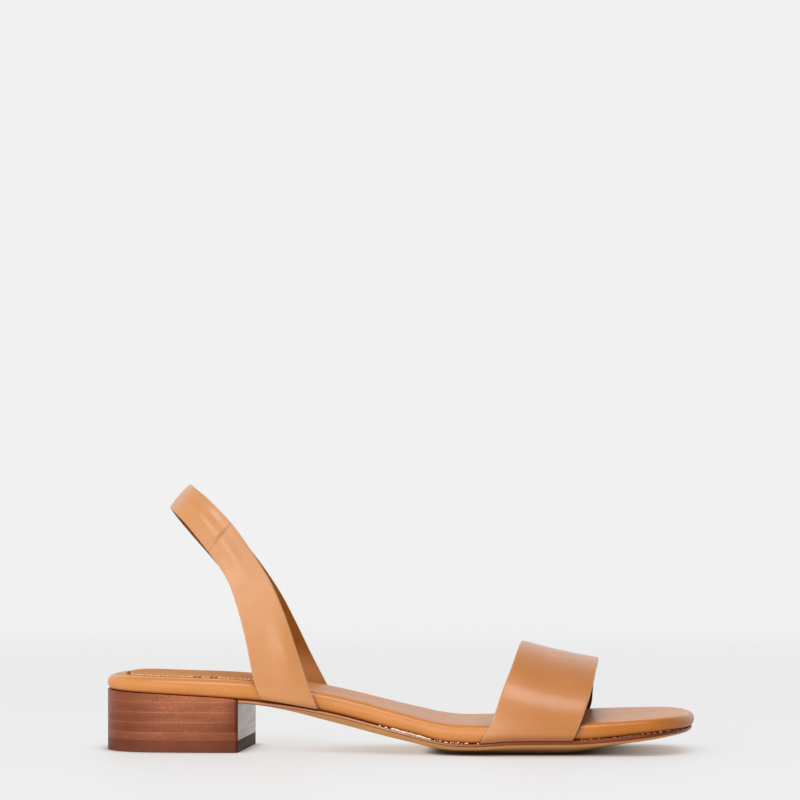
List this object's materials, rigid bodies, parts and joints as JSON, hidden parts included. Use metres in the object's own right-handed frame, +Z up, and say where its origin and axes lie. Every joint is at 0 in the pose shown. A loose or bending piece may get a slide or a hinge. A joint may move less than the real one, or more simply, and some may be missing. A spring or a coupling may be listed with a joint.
{
  "type": "slingback sandal",
  "caption": "Open-toe slingback sandal for the right foot: wide front strap, padded footbed, elastic sling round the heel and a low stacked block heel.",
  "frame": {"origin": "middle of the bounding box in plan, at the floor the sandal stands on", "axes": "+X from the heel to the toe, +Y to the inner side of the foot, +Z up"},
  "size_m": [0.25, 0.0866, 0.1128],
  "materials": {
    "strap_leather": "smooth tan leather with a soft gloss",
    "footbed_leather": "smooth tan leather over padding",
    "sock_leather": "matt tan leather",
    "outsole_leather": "dense light brown sole leather with a painted edge",
    "heel_stack": "polished stacked lifts",
    "top_piece_rubber": "satin dark brown rubber"
  },
  "bodies": {
    "root": {"footbed": "footbed_leather", "heel_sock": "sock_leather", "outsole": "outsole_leather", "heel_top_piece": "top_piece_rubber", "heel_lift_1": "heel_stack", "heel_lift_2": "heel_stack", "heel_lift_3": "heel_stack", "heel_lift_4": "heel_stack", "heel_lift_5": "heel_stack", "front_strap": "strap_leather", "sling_strap_outer": "strap_leather", "sling_strap_inner": "strap_leather", "sling_sleeve": "strap_leather"}
  },
  "joints": []
}
